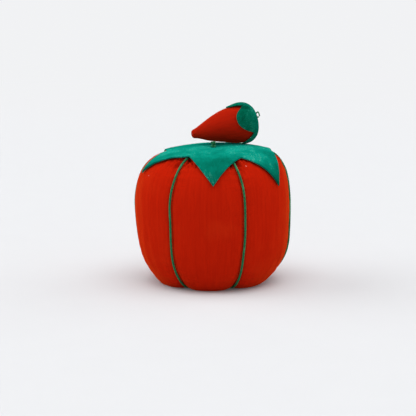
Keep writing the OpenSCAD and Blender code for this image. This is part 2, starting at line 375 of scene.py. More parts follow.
def joined(name, objects):
    """One object from several, in the order given."""
    verts, faces, uv, start = [], [], [], 0
    for o in objects:
        m = o.data
        verts += [tuple(v.co) for v in m.vertices]
        faces += [[start + v for v in p.vertices] for p in m.polygons]
        layer = m.uv_layers[0].data
        uv += [tuple(layer[i].uv) for p in m.polygons for i in p.loop_indices]
        start += len(m.vertices)
    material = objects[0].data.materials[0]
    for o in objects:
        bpy.data.objects.remove(o)
    return finish_mesh(name, verts, faces, uv, material)


# ---- cloth simulation
SIM_SCALE = 10.0
SIM_FRAMES = 20
SIM_MASS = 0.02  # light enough for the pressure to move such small cloth
COVER_PRESSURE = 20.0
BERRY_PRESSURE = 60.0


def pressed_out(points, held, pressure, normal, most):
    """How far Blender's cloth moves out along its normal under pressure from inside, in mm and at
    most as given. The held points stay fixed."""
    scene = bpy.context.scene
    rows, cols = points.shape[:2]
    obj = grid_piece("inflating", points * SIM_SCALE, np.zeros((rows, cols + 1, 2)), None)
    group = obj.vertex_groups.new(name="held")
    group.add(np.flatnonzero(held.ravel()).tolist(), 1.0, "REPLACE")
    cloth = obj.modifiers.new("cloth", "CLOTH")
    cloth.settings.mass = SIM_MASS
    cloth.settings.use_pressure = True
    cloth.settings.uniform_pressure_force = pressure
    cloth.settings.effector_weights.gravity = 0
    cloth.settings.vertex_group_mass = "held"
    cloth.point_cache.frame_end = SIM_FRAMES
    for f in range(1, SIM_FRAMES + 1):
        scene.frame_set(f)
    result = obj.evaluated_get(bpy.context.evaluated_depsgraph_get())
    co = np.zeros(rows * cols * 3, np.float32)
    result.data.vertices.foreach_get("co", co)
    bpy.data.objects.remove(obj)
    scene.frame_set(1)
    moved = co.reshape(rows, cols, 3).astype(float) / (SIM_SCALE * MM)
    return np.clip(((moved - points) * normal).sum(-1), 0, most)


# ---- materials
def linear(r, g, b):
    def one(c):
        c /= 255
        return c / 12.92 if c <= 0.04045 else ((c + 0.055) / 1.055) ** 2.4
    return (one(r), one(g), one(b), 1.0)


class Finish:
    """A procedural material: a Principled shader and the nodes that feed it."""

    def __init__(self, name, specular, sheen, sheen_tint, sheen_roughness):
        self.material = bpy.data.materials.new(name)
        self.material.use_nodes = True
        self.tree = self.material.node_tree
        self.shader = self.put(self.tree.nodes["Principled BSDF"], {
            "Specular IOR Level": specular, "Sheen Weight": sheen,
            "Sheen Roughness": sheen_roughness, "Sheen Tint": sheen_tint,
        })
        self.coords = self.tree.nodes.new("ShaderNodeTexCoord")

    def put(self, node, inputs):
        """Links or sets a node's inputs."""
        for socket, value in inputs.items():
            if isinstance(value, bpy.types.NodeSocket):
                self.tree.links.new(value, node.inputs[socket])
            elif value is not None:
                node.inputs[socket].default_value = value
        return node

    def node(self, kind, inputs, **settings):
        n = self.tree.nodes.new("ShaderNode" + kind)
        for key, value in settings.items():
            setattr(n, key, value)
        return self.put(n, inputs)

    def space(self, source, scale=(1, 1, 1)):
        n = self.node("Mapping", {"Vector": self.coords.outputs[source], "Scale": scale})
        return n.outputs["Vector"]

    def noise(self, where, scale, detail=3.0, roughness=0.5, distortion=0.0):
        n = self.node("TexNoise", {"Vector": where, "Scale": scale, "Detail": detail,
                                   "Roughness": roughness, "Distortion": distortion})
        return n.outputs["Fac"]

    def cells(self, where, scale):
        n = self.node("TexVoronoi", {"Vector": where, "Scale": scale})
        return n.outputs["Distance"], n.outputs["Color"]

    def bands(self, where, scale, direction):
        n = self.node("TexWave", {"Vector": where, "Scale": scale, "Distortion": 0.6,
                                  "Detail": 2.0, "Detail Scale": 0.7}, bands_direction=direction)
        return n.outputs["Fac"]

    def math(self, operation, a, b):
        return self.node("Math", {0: a, 1: b}, operation=operation).outputs[0]

    def spread(self, value, low, high, to_low=0.0, to_high=1.0):
        n = self.node("MapRange", {"Value": value, "From Min": low, "From Max": high,
                                   "To Min": to_low, "To Max": to_high},
                      interpolation_type="SMOOTHSTEP")
        return n.outputs["Result"]

    def mix(self, share, a, b):
        return self.node("Mix", {0: share, 6: a, 7: b}, data_type="RGBA").outputs[2]

    def bump(self, height, strength, distance, below=None):
        n = self.node("Bump", {"Height": height, "Strength": strength, "Distance": distance,
                               "Normal": below})
        return n.outputs["Normal"]

    def done(self, color, roughness, normal):
        self.put(self.shader, {"Base Color": color, "Roughness": roughness, "Normal": normal})
        return self.material


WEAVE_SCALE = 6.283


def cotton(name, body, deep, light, lint_share):
    """Plain-woven cotton: threads at 0.5 mm, slubs along the warp, faint fading, a little lint."""
    f = Finish(name, 0.0, 0.55, (1.0, 0.14, 0.02, 1.0), 0.3)
    cloth = f.space("UV")
    place = f.space("Object")
    streaks = f.noise(f.space("UV", (9, 0.5, 1)), 1.0, 4.0, 0.6)
    slubs = f.noise(f.space("UV", (26, 1.6, 1)), 1.0, 3.0, 0.65)
    patches = f.noise(place, 55.0, 3.0, 0.55)
    warp = f.bands(cloth, WEAVE_SCALE, "X")
    weft = f.bands(cloth, WEAVE_SCALE, "Y")
    weave = f.math("MULTIPLY", f.math("SUBTRACT", warp, 0.5), f.math("SUBTRACT", weft, 0.5))
    color = f.mix(f.spread(streaks, 0.3, 0.7, 0.7, 1.0), deep, body)
    color = f.mix(f.spread(slubs, 0.55, 0.9, 0.0, 0.22), color, light)
    color = f.mix(f.spread(patches, 0.5, 0.85, 0.0, 0.25), color, light)
    color = f.mix(f.spread(weave, -0.2, 0.05, 0.25, 0.0), color, deep)
    near, tone = f.cells(place, 120.0)
    pick = f.node("SeparateColor", {"Color": tone}).outputs
    chosen = f.spread(pick["Red"], 1 - lint_share, 1 - lint_share + 0.02)
    fleck = f.math("MULTIPLY", chosen, f.spread(near, 0.022, 0.045, 0.75, 0.0))
    color = f.mix(fleck, color, linear(240, 205, 190))
    roughness = f.spread(slubs, 0.3, 0.75, 0.82, 0.97)
    normal = f.bump(weave, 0.35, 0.0002)
    normal = f.bump(slubs, 0.2, 0.00025, normal)
    normal = f.bump(f.noise(place, 900.0, 3.0, 0.6), 0.12, 0.0003, normal)
    return f.done(color, roughness, normal)


def felt(name, body, deep, light, scuff, taper=None):
    """Pressed wool felt: matted fibres, paler rubbed streaks and a soft nap. The last argument gives
    two heights in metres for painted light and shade: below the first the felt is painted darker as
    shade, and above the second it is painted paler, mottled, as lit from above."""
    f = Finish(name, 0.0, 0.2, (0.02, 0.85, 0.68, 1.0), 0.4)
    place = f.space("Object")
    cloud = f.noise(place, 90.0, 4.0, 0.6, 0.3)
    mat = f.noise(place, 420.0, 5.0, 0.7, 1.2)
    fibre = f.noise(f.space("UV", (3.0, 0.9, 1)), 5.0, 5.0, 0.72, 2.2)
    hair = f.noise(place, 1900.0, 3.0, 0.7, 0.8)
    color = f.mix(f.spread(cloud, 0.3, 0.7), deep, body)
    color = f.mix(f.spread(mat, 0.45, 0.75, 0.0, 0.6), color, deep)
    color = f.mix(f.spread(fibre, 0.5, 0.72, 0.0, 0.55), color, light)
    if taper is not None:
        # Painted light by height: the top of the felt is painted paler, mottled, for the light from
        # above, and the lower felt is painted darker for shade.
        painted_top_light = f.spread(f.node("SeparateXYZ", {"Vector": place}).outputs["Z"], *taper)
        color = f.mix(f.math("MULTIPLY", painted_top_light, f.spread(cloud, 0.25, 0.75, 0.2, 0.8)), color, light)
        color = f.mix(f.math("MULTIPLY", f.math("SUBTRACT", 1.0, painted_top_light), 0.75), color, deep)
    rubbed = f.math("MULTIPLY", f.spread(fibre, 0.54, 0.66), f.spread(cloud, 0.48, 0.6))
    color = f.mix(f.math("MULTIPLY", rubbed, 0.8), color, scuff)
    roughness = f.spread(mat, 0.3, 0.7, 0.86, 0.98)
    normal = f.bump(mat, 0.5, 0.00035)
    normal = f.bump(hair, 0.35, 0.00016, normal)
    normal = f.bump(fibre, 0.25, 0.0004, normal)
    return f.done(color, roughness, normal)


def cord_yarn(name, body, deep, light, fibres):
    """Twisted yarn: fine fibres at a slant along the strand, darker between them."""
    f = Finish(name, 0.18, 0.15, light, 0.4)
    place = f.space("Object")
    slant = f.noise(f.space("UV", (10, fibres, 1)), 1.0, 4.0, 0.6, 0.4)
    tone = f.noise(place, 160.0, 3.0, 0.5)
    color = f.mix(f.spread(slant, 0.35, 0.65), deep, body)
    color = f.mix(f.spread(tone, 0.5, 0.8, 0.0, 0.55), color, light)
    roughness = f.spread(slant, 0.3, 0.7, 0.62, 0.85)
    normal = f.bump(slant, 0.5, 0.00012)
    normal = f.bump(f.noise(place, 2600.0, 2.0, 0.6), 0.2, 0.00008, normal)
    return f.done(color, roughness, normal)


def grains(name, light, body, deep, scale):
    """Loose packed grains, each with its own tone."""
    f = Finish(name, 0.2, 0.0, (1, 1, 1, 1), 0.5)
    place = f.space("Object")
    near, tone = f.cells(place, scale)
    pick = f.node("SeparateColor", {"Color": tone}).outputs
    color = f.mix(pick["Red"], deep, body)
    color = f.mix(f.spread(pick["Green"], 0.7, 1.0), color, light)
    color = f.mix(f.spread(near, 0.35, 0.7), color, deep)
    roughness = f.spread(f.noise(place, scale / 2), 0.3, 0.7, 0.75, 0.95)
    return f.done(color, roughness, f.bump(near, 0.7, 0.0004))


RED_COTTON = cotton("red_cotton_cloth", linear(184, 30, 8), linear(150, 17, 5),
                    linear(214, 60, 22), 0.55)
BERRY_COTTON = cotton("berry_cotton_cloth", linear(171, 29, 10), linear(134, 17, 8),
                      linear(216, 66, 26), 0.3)
# The cushion's felt carries painted light: paler towards the top and darker lower down, set by the
# two heights in metres.
GREEN_FELT = felt("green_felt_cloth", linear(2, 120, 98), linear(1, 76, 56),
                  linear(8, 146, 126), linear(100, 190, 168), taper=(0.046, 0.0585))
DARK_FELT = felt("dark_green_felt_cloth", linear(2, 104, 80), linear(1, 70, 50),
                 linear(14, 138, 116), linear(84, 172, 150))
GREEN_CORD = cord_yarn("green_cord_yarn", linear(28, 122, 74), linear(10, 72, 44),
                       linear(92, 172, 118), 14)
GREEN_THREAD = cord_yarn("green_thread_yarn", linear(44, 140, 92), linear(20, 92, 58),
                         linear(120, 190, 140), 22)
RED_THREAD = cord_yarn("red_thread_yarn", linear(150, 26, 14), linear(96, 12, 8),
                       linear(190, 70, 50), 22)
SAWDUST = grains("packed_sawdust", linear(222, 190, 142), linear(196, 158, 108),
                 linear(150, 112, 70), 900.0)
EMERY = grains("emery_grit_grains", linear(128, 124, 120), linear(82, 78, 76),
               linear(44, 42, 42), 2600.0)

# ---- camera, at the photograph's angle
CAMERA_AIM_Z = 0.030
CAMERA_DISTANCE = 0.600
CAMERA_ELEVATION = math.radians(10)
camera_data = bpy.data.cameras.new("camera")
camera_data.sensor_width = 36.0
camera_data.lens = 115.0
camera_data.shift_x = -0.0126
camera_data.shift_y = 0.0159
camera_data.clip_start = 0.01
camera_data.clip_end = 100.0
camera = bpy.data.objects.new("camera", camera_data)
camera.location = (
    0.0,
    -CAMERA_DISTANCE * math.cos(CAMERA_ELEVATION),
    CAMERA_AIM_Z + CAMERA_DISTANCE * math.sin(CAMERA_ELEVATION),
)
camera.rotation_euler = (math.radians(90) - CAMERA_ELEVATION, 0, 0)
bpy.context.scene.collection.objects.link(camera)
bpy.context.scene.camera = camera

# ---- tether, a free cord
# Its last stretch is a piece of its own
tether_path = respaced(catmull(TETHER_ROUTE, 12), 0.25)
tail_from = TETHER_ROUTE[TAIL_STARTS]
split = int(np.argmin(np.linalg.norm(tether_path - np.array(tail_from), axis=1)))
run_path, tail_path = tether_path[:split + 1], tether_path[split:]
tether = twisted_cord("tether", run_path, TETHER_R, GREEN_THREAD, **THREAD)
tail = twisted_cord("tether_tail", tail_path, TETHER_R, GREEN_THREAD, **THREAD)
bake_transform(tether)
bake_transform(tail)
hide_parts("tether_cord")

# ---- cushion cover
LOBES = len(CORD_ANGLES)
# How far each cord strays from its own angle towards the top, in degrees
CORD_DRIFT = [-3.2, 17.0, -2.4, 1.8, -14.0, 3.0]
COLUMN_SQUEEZE = 0.55


def cord_angle(k, s):
    """Where cord k lies round the axis, in radians, at arc length s."""
    from_top = BODY.total - s
    drift = CORD_DRIFT[k] * smooth((51 - from_top) / 32) * smooth(from_top / 12)
    waver = 0.35 * np.sin(s / 8.5 + 1.7 * k) + 0.2 * np.sin(s / 3.7 + 2.3 * k)
    return np.radians(CORD_ANGLES[k] + drift + waver * smooth((s - 12) / 12))


def column_places(per_lobe):
    """For each column: the cord before it and its share of the way to the next cord."""
    w = np.arange(per_lobe) / per_lobe
    share = w - COLUMN_SQUEEZE * np.sin(TURN * w) / TURN
    return np.repeat(np.arange(LOBES), per_lobe), np.tile(share, LOBES)


def column_angles(s, k, share):
    """Angles for every row s and column, and the arc distances to the cords on either side."""
    cords = np.stack([cord_angle(n, s) for n in range(LOBES)] + [cord_angle(0, s) + TURN], 1)
    lobe = np.diff(cords, axis=1)[:, k]
    width = BODY.at(s)[0][:, None] * lobe
    return cords[:, k] + lobe * share, width * share, width * (1 - share)


HEM = 5.0
S_LOW = BODY.s_of_r(HOLE_R, False)
S_TOP = BODY.s_of_r(HOLE_R, True)


def crease_groups():
    """Gathers beside each cord at the top, then at the base, as creases() takes them."""
    rng = np.random.default_rng(11)
    top, base = [], []
    for k in range(LOBES):
        for side in (-1, 1):
            offset = 1.3 + rng.uniform(0, 0.4)
            for n in range(7):
                end = 28.0 + 7.0 * rng.uniform() * (1 - 0.06 * n)
                depth = (1.45 - 0.13 * n) * rng.uniform(0.55, 1.0)
                width = rng.uniform(0.42, 0.72)
                top.append((k, side, offset, rng.uniform(0.3, 0.9), end, depth, width))
                offset += rng.uniform(0.9, 1.7)
            offset = 1.2 + rng.uniform(0, 0.4)
            for n in range(6):
                end = 19.5 + 7 * rng.uniform()
                depth = (0.5 - 0.05 * n) * rng.uniform(0.5, 1.0)
                width = rng.uniform(0.34, 0.6)
                base.append((k, side, offset, rng.uniform(0.5, 1.0), end, depth, width))
                offset += rng.uniform(1.0, 1.9)
    return top, base


def fan_group():
    """Short gathers that spread from the place where each cord runs under the felt."""
    rng = np.random.default_rng(17)
    group = []
    for k in range(LOBES):
        for side in (-1, 1):
            for slope in (0.08, 0.24, 0.45, 0.8):
                slope *= rng.uniform(0.85, 1.2)
                start, run = rng.uniform(20.5, 23.5), rng.uniform(8.0, 12.0)
                deep, width = rng.uniform(0.6, 1.1), rng.uniform(0.42, 0.62)
                group.append((k, side, slope, start, run, deep, width))
    return group


def beside(cord, side, k, before, after):
    """The columns on one side of a cord, and their arc distances from it."""
    pick = k == (cord if side > 0 else (cord - 1) % LOBES)
    return pick, (before if side > 0 else after)[:, pick]


def fans(group, from_top, k, before, after):
    """Depth in mm of the fanned gathers; from_top is each row's arc distance from the top."""
    depth = np.zeros_like(before)
    for cord, side, slope, start, run, deep, width in group:
        pick, x = beside(cord, side, k, before, after)
        x = x - 0.7  # the fan opens a little beside the cord
        gone = from_top - start
        steep = math.sqrt(1 + slope**2)
        off = (x - slope * gone) / steep / width
        along = (gone + slope * x) / steep
        taper = smooth((along + 2.0) / 2.0) * smooth((run - along) / 3.5)
        depth[:, pick] += deep * taper * furrow(off, 0.3, 1.9)
    return depth


def creases(group, reach, r, k, before, after):
    """Depth in mm of one end's gathers; reach is each row's arc distance from that end."""
    depth = np.zeros_like(before)
    wide = 22.0  # the radius at which the gathers have their full width and offset
    for cord, side, offset, spread, end, deep, width in group:
        pick, x = beside(cord, side, k, before, after)
        line = offset * (np.maximum(r, 2) / wide) ** spread
        taper = smooth((end - reach) / 7.0) * smooth(r / 14)
        w = width * (0.6 + 0.4 * np.minimum(r / wide, 1))
        depth[:, pick] += deep * taper * furrow((x - line) / w, 0.28, 1.9)
    return depth


def foot_lean(angle):
    """The filling has settled towards the left, so the foot is fuller there."""
    return 1 - 0.28 * np.cos(angle + 0.3)


def foot_swell(s):
    """Where the body's weight presses the lower edge out, from 0 to 1."""
    return bell(s - 22, 6.5)


def cord_pull(s):
    """Where the cords pull in the lower edge, so that the lobes bulge below it, from 0 to 1."""
    return smooth((s - 13) / 7) * smooth((40 - s) / 14)


def cover_heights(s, k, share, swell):
    """The cotton's angles, and how far it stands off the side outline, by row and column."""
    angles, before, after = column_angles(s, k, share)
    s = s[:, None]
    from_top = BODY.total - s
    r = BODY.at(s)[0]
    near = np.minimum(before, after)
    on_side = smooth((s - FOOT_R - 1) / 10)
    broad = 0.5 * (1 - swell) * on_side
    narrow = 0.75 * bell(near, 0.95) + 0.5 * bell(near, 0.8) * (1 - on_side)
    lee = 0.28 * bell(near, 2.4) * on_side
    tuck = 0.75 * bell(near, 3.6) * cord_pull(s)
    at_top, at_base = crease_groups()
    top = creases(at_top, from_top, r, k, before, after)
    top += fans(fan_group(), from_top, k, before, after)
    base = creases(at_base, s, r, k, before, after)
    u, v = angles / TURN, s / BODY.total
    lumps = 0.16 * (1 + unevenness(u, v, 22, 9, 3)) + 0.05 * (1 + unevenness(u, v, 70, 26, 4))
    ripple = 0.022 * unevenness(u, v, 230, 12, 5)
    calm = smooth(r / 8)
    sag = foot_swell(s) * foot_lean(angles) * (0.9 + 0.7 * np.sin(np.pi * share) ** 1.2)
    height = sag - (broad + narrow + lee + tuck + top + base)
    height = height - lumps * calm * (0.35 + 0.65 * on_side) + ripple * calm
    centre = smooth((HOLE_R + 3 - r) / 3)
    return angles, height * (1 - 0.6 * centre) - 0.6 * BED_DEPTH * centre


def arch(share):
    """A lobe's even swelling, from 0 at the cords to 1 between them."""
    return np.sin(np.pi * share) ** 0.75


GATHERED_R = 9.0  # nearer the axis than this, the filling doesn't press the cotton out


def cover_swell(rows_s, k):
    """Share of full swelling, 0 at the cords and 1 mid-lobe, of cloth pressed out from inside."""
    per_lobe, n_rows = 16, 54
    sim_k, sim_share = column_places(per_lobe)
    s = np.linspace(S_LOW, S_TOP, n_rows)
    angles = column_angles(s, sim_k, sim_share)[0]
    row_s = s[:, None]
    r, _, nr, nz = BODY.at(row_s)
    start = on_body(row_s, angles, 0.45 * np.sin(np.pi * sim_share) - 1.25)
    at_cord = np.arange(len(sim_k)) % per_lobe == 0
    held = at_cord | (row_s < FOOT_R) | (r < GATHERED_R)
    normal = np.stack([nr * np.cos(angles), nr * np.sin(angles), nz * np.ones_like(angles)], -1)
    out = pressed_out(start, held, COVER_PRESSURE, normal, 6.0)
    out /= np.maximum(out.max(1, keepdims=True), 0.05)
    live = smooth((row_s - FOOT_R) / 8) * smooth((r - GATHERED_R) / 6)
    out = out * live + arch(sim_share) * (1 - live)
    # Up to the fine grid: even in rows, and in columns by the same squeeze
    fine_col = np.arange(len(k)) / (len(k) // LOBES) * per_lobe
    i = np.floor(fine_col).astype(int)
    row_at = np.interp(rows_s, s, np.arange(n_rows))
    j = np.minimum(np.floor(row_at).astype(int), n_rows - 2)
    result = np.zeros((len(rows_s), len(k)))
    for a, wx in enumerate(cubic_weights(fine_col - i)):
        column = out[:, (i + a - 1) % (LOBES * per_lobe)]
        for b, wy in enumerate(cubic_weights(row_at - j)):
            result += wx * wy[:, None] * column[np.clip(j + b - 1, 0, n_rows - 1)]
    return np.clip(result, 0, 1.1)


def build_cover():
    k, share = column_places(76)
    s = np.linspace(S_LOW, S_TOP, 196)
    angles, height = cover_heights(s, k, share, cover_swell(s, k))
    # The raw edges are turned in at both holes and run back under the cotton
    hem = ((-0.12, 0.25), (0.1, 0.55), (0.8, 0.62), (2.4, 0.64), (HEM, 0.62))
    low, high = (
        [on_body(s[end] + sign * back, angles[end], height[end] - deep) for back, deep in hem]
        for end, sign in ((0, 1), (-1, -1))
    )
    points = np.concatenate([low[::-1], on_body(s[:, None], angles, height), high])
    points[..., 2] = np.maximum(points[..., 2], REST_Z)
    hem_s = np.arange(1, len(hem) + 1) * 0.4
    along = np.concatenate([S_LOW - hem_s[::-1], s, S_TOP + hem_s])
    turn = np.append(share + k, LOBES) / LOBES * (TURN * BODY_R / UV_MM)
    return grid_piece("cover_cotton", points, uv_grid(turn, along / UV_MM), RED_COTTON)


cover = build_cover()
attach(cover, "cushion")
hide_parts("cushion_cover")


# ---- winding cord
def build_winding(k):
    s = np.arange(BODY.s_of_r(3.0, False), BODY.s_of_r(3.0, True), 0.3)
    angle = cord_angle(k, s)
    sag = 0.9 * foot_swell(s) * foot_lean(angle)
    outside = on_body(s, angle, sag - CORD_UNDER - 0.62 * cord_pull(s))
    outside[:, 2] = np.maximum(outside[:, 2], CORD_R + REST_Z)
    a = math.radians(CORD_ANGLES[k])

    def inside(z, r=1.2):
        return [r * math.cos(a), r * math.sin(a), z]

    base_z, top_z = BASE_DIMPLE, COVER_H - TOP_DIMPLE
    low = catmull([inside(28), inside(16), inside(6), inside(base_z + 1.2, 1.35),
                   inside(base_z + 0.55, 2.0), outside[0]], 8)
    high = catmull([outside[-1], inside(top_z - 0.6, 2.0), inside(top_z - 1.4, 1.35),
                    inside(52), inside(40), inside(29)], 8)
    path = np.concatenate([low[:-1], outside, high[1:]])
    cord = twisted_cord(f"winding_cord_{k + 1}", respaced(path, 0.32), CORD_R, GREEN_CORD)
    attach(cord, "cushion")
    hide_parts(f"cord_wrap_{k + 1}")


for cord_number in range(LOBES):
    build_winding(cord_number)


# ---- felt
def felt_piece(name, columns, edge, thickness, hole, place, lift, grain, material):
    """A flat cut of felt, laid by place(s, angle, height). edge is each column's reach in mm."""
    cut = flat_points(columns, edge)
    rim = 0.42 * thickness
    share = (1 - (1 - np.linspace(0, 1, 46)) ** 1.6)[:, None]
    s = hole + (edge - hole) * share
    # Distance of each point from the cut edge, for the rounded rim
    flat = flat_points(columns, s)
    ahead = np.roll(cut, -1, 0) - cut
    size = np.maximum((ahead**2).sum(1), 1e-12)
    inward = np.full(s.shape, 1e9)
    for shift in range(-14, 15):
        base, step = np.roll(cut, -shift, 0), np.roll(ahead, -shift, 0)
        t = np.clip(((flat - base) * step).sum(2) / np.roll(size, -shift), 0, 1)
        gap = np.linalg.norm(flat - base - t[..., None] * step, axis=2)
        inward = np.minimum(inward, gap)
    around = np.clip(1 - inward / rim, 0, 1)
    rounding = rim * (1 - np.sqrt(np.clip(1 - around**2, 0, 1)))
    raised = lift(s, columns, share)
    top = thickness - rounding + raised + grain(columns, share)
    under = raised + 0.55 * rounding
    points = np.concatenate([place(s, columns, top), place(s[::-1], columns, under[::-1])])
    run = np.concatenate([s, s[::-1]])
    run = np.concatenate([run, run[:, :1]], 1)
    uv = flat_points(np.append(columns, columns[0] + TURN), run) / UV_MM
    obj = grid_piece(name, points, uv, material)
    # The hole's wall joins the last row to the first
    close_rows(obj, len(columns))
    return obj


def star_edge():
    """Columns and reach of the hand-cut six-point star, nearly straight between its corners."""
    angles, reach, bows = np.transpose(STAR)
    spots = flat_points(np.radians(angles), reach)
    line = []
    for here, there, bow in zip(spots, np.roll(spots, -1, 0), bows):
        out = np.array([there[1] - here[1], here[0] - there[0]])
        out /= np.linalg.norm(out)
        for t in np.arange(STAR_STEPS) / STAR_STEPS:
            t = smooth(t) * 0.3 + t * 0.7
            line.append(here + (there - here) * t + out * bow * math.sin(math.pi * t))
    x, y = np.transpose(line)
    return np.unwrap(np.arctan2(y, x)), np.hypot(x, y)


leaf_columns, leaf_edge = star_edge()
leaf_u = leaf_columns / TURN
leaf_edge += 0.16 * unevenness(leaf_u, 0.5, 60, 1, 21) + 0.07 * unevenness(leaf_u, 0.5, 190, 1, 22)


def leaf_lift(s, columns, share):
    """The felt bridges the gathers, sways a little and curls at its cut edge."""
    u = columns / TURN
    sway = 0.1 * (1 + unevenness(u, np.clip(s / 42, 0, 1), 18, 5, 31))
    curl = (0.1 + 0.2 * unevenness(u, 0.5, 26, 1, 32)) * smooth((share - 0.8) / 0.2)
    return FELT_LIFT + (sway + np.maximum(curl, -0.08)) * smooth(s / 9)


def leaf_grain(columns, share):
    u = columns / TURN
    return 0.05 * unevenness(u, share, 150, 24, 41) + 0.03 * unevenness(u, share, 360, 44, 42)


leaves = felt_piece("felt_leaves", leaf_columns, leaf_edge, FELT_T, FELT_HOLE_R, on_top,
                    leaf_lift, leaf_grain, GREEN_FELT)
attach(leaves, "cushion")
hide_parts("leaf_cap")


# ---- knots
def knot_path(centre, wide, high, turn=0.0, steps=120):
    t = np.linspace(0, TURN, steps, endpoint=False) + turn
    x = (np.sin(t) + 2 * np.sin(2 * t)) / 3 * wide
    y = (np.cos(t) - 2 * np.cos(2 * t)) / 3 * wide
    z = -np.sin(3 * t) * high
    ring = np.stack([x, y, z], 1) + np.array(centre)
    return np.concatenate([ring, ring[:3]])


def box_mm(node):
    low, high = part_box(node)
    return np.array(low) / MM, np.array(high) / MM


low, high = box_mm("top_knot")
knot_middle = [0, 0, high[2] - 1.05]
neck_path = np.array([[0.05, 0, z] for z in np.linspace(low[2], knot_middle[2], 12)])
neck = twisted_cord("knot_neck", neck_path, 0.5, GREEN_CORD, **KNOT_CORD)
loop = twisted_cord("knot_loop", knot_path(knot_middle, 0.8, 0.38, 0.4), 0.44, GREEN_CORD,
                    **KNOT_CORD)
top_knot = joined("knot_top", [neck, loop])
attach(top_knot, "cushion")
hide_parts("top_knot")

low, high = box_mm("base_knot")
middle = [0, 0, (low[2] + high[2]) / 2 + 0.1]
loop = twisted_cord("base_loop", knot_path(middle, 1.25, 0.3, 1.1), 0.42, GREEN_CORD, **KNOT_CORD)
tails = [
    twisted_cord(f"base_tail_{i}", respaced(catmull(route, 8), 0.3), 0.4, GREEN_CORD,
                 **KNOT_CORD)
    for i, route in enumerate((
        [(0.6, 0.2, 1.1), (1.6, 0.9, 1.0), (2.8, 1.4, 1.05), (3.8, 1.3, 0.95)],
        [(-0.4, -0.5, 1.1), (-1.2, -1.6, 1.1), (-1.5, -2.6, 1.0), (-1.2, -3.6, 0.95)],
    ))
]
base_knot = joined("knot_base", [loop, *tails])
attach(base_knot, "cushion")
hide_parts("base_knot")

low, high = box_mm("tether_eye")
eye_r = (high[0] - low[0]) / 2 - TETHER_R
turn = np.linspace(0, TURN, 60)
eye_path = np.column_stack([flat_points(turn + 1.6, eye_r), np.full(60, (low[2] + high[2]) / 2)])
tether_eye = twisted_cord("tether_loop", eye_path, TETHER_R, GREEN_THREAD, round_ends=False,
                          **THREAD)
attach(tether_eye, "tether")
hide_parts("tether_eye")

low, high = box_mm("tether_knot")
pivot = (low + high) / 2
tether_knot = twisted_cord("tether_end_knot", knot_path(pivot, 0.32, 0.16, 0.2, 70), 0.2,
                           GREEN_THREAD, sides=10, ply=2, lay=1.2, groove=0.2)
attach(tether_knot, "tether_end")
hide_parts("tether_knot")

# ---- strawberry
BERRY_AXIS = np.array([math.cos(BERRY_LEAN), 0, math.sin(BERRY_LEAN)])
BERRY_DOWN = np.array([math.sin(BERRY_LEAN), 0, -math.cos(BERRY_LEAN)])
BERRY_BACK = np.array([0.0, 1.0, 0.0])


def berry_droop(along):
    """How far the soft cone hangs below its straight axis, in mm."""
    return 1.55 - 0.6 * smooth(along / 15) + 0.22 * smooth((along - 14) / 6)


def in_berry(r, along, angle):
    """A point by radius, distance from the tip, and angle from straight down round to the back."""
    r, along, angle = np.broadcast_arrays(r, along, angle)
    down = r * np.cos(angle) + berry_droop(along)
    return (BERRY_TIP + along[..., None] * BERRY_AXIS + down[..., None] * BERRY_DOWN
            + (r * np.sin(angle))[..., None] * BERRY_BACK)


def berry_radius(u):
    nose = BERRY_TIP_R * bulged(1 - np.minimum(u / BERRY_NOSE, 1), 2.5, 2.5)
    cone = BERRY_R * bulged(np.clip(1 - u / BERRY_WIDE, 0, 1), 1.6, 1.22)
    cap = np.clip((u - BERRY_WIDE) / (BERRY_L - BERRY_WIDE), 0, 1)
    side = (nose**3 + cone**3) ** (1 / 3)
    widest = (BERRY_TIP_R**3 + BERRY_R**3) ** (1 / 3)
    return np.where(u < BERRY_WIDE, side, widest * bulged(cap, 2.4, 2.4))


def berry_outline():
    nose = BERRY_NOSE * (1 - np.cos(np.linspace(0, np.pi / 2, 30)))
    side = np.linspace(BERRY_NOSE, BERRY_WIDE, 200)
    cap = BERRY_WIDE + (BERRY_L - BERRY_WIDE) * np.sin(np.linspace(0, np.pi / 2, 80))
    u = np.concatenate([nose, side[1:], cap[1:]])
    return list(zip(berry_radius(u), u))


# Heights run from the tip, so the outline's normal points outwards
BERRY = Profile(berry_outline(), 0.35)


def on_berry(s, angle, height):
    r, u, nr, nu = BERRY.at(s)
    return in_berry(r + nr * height, u + nu * height, angle)


def berry_swell(s):
    """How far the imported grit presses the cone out, as a share of the most."""
    rows = np.linspace(0.6, BERRY.total - 0.8, 36)
    turn = round_angles(40)
    start = on_berry(rows[:, None], turn, -0.6)
    held = np.zeros(start.shape[:2], bool)
    held[:3] = held[-7:] = True
    _, _, nr, nu = BERRY.at(rows[:, None])
    normal = (nu[..., None] * BERRY_AXIS + (nr * np.cos(turn))[..., None] * BERRY_DOWN
              + (nr * np.sin(turn))[..., None] * BERRY_BACK)
    out = pressed_out(start, held, BERRY_PRESSURE, normal, 4.0).mean(1)
    return np.interp(s, rows, out / max(out.max(), 0.05))


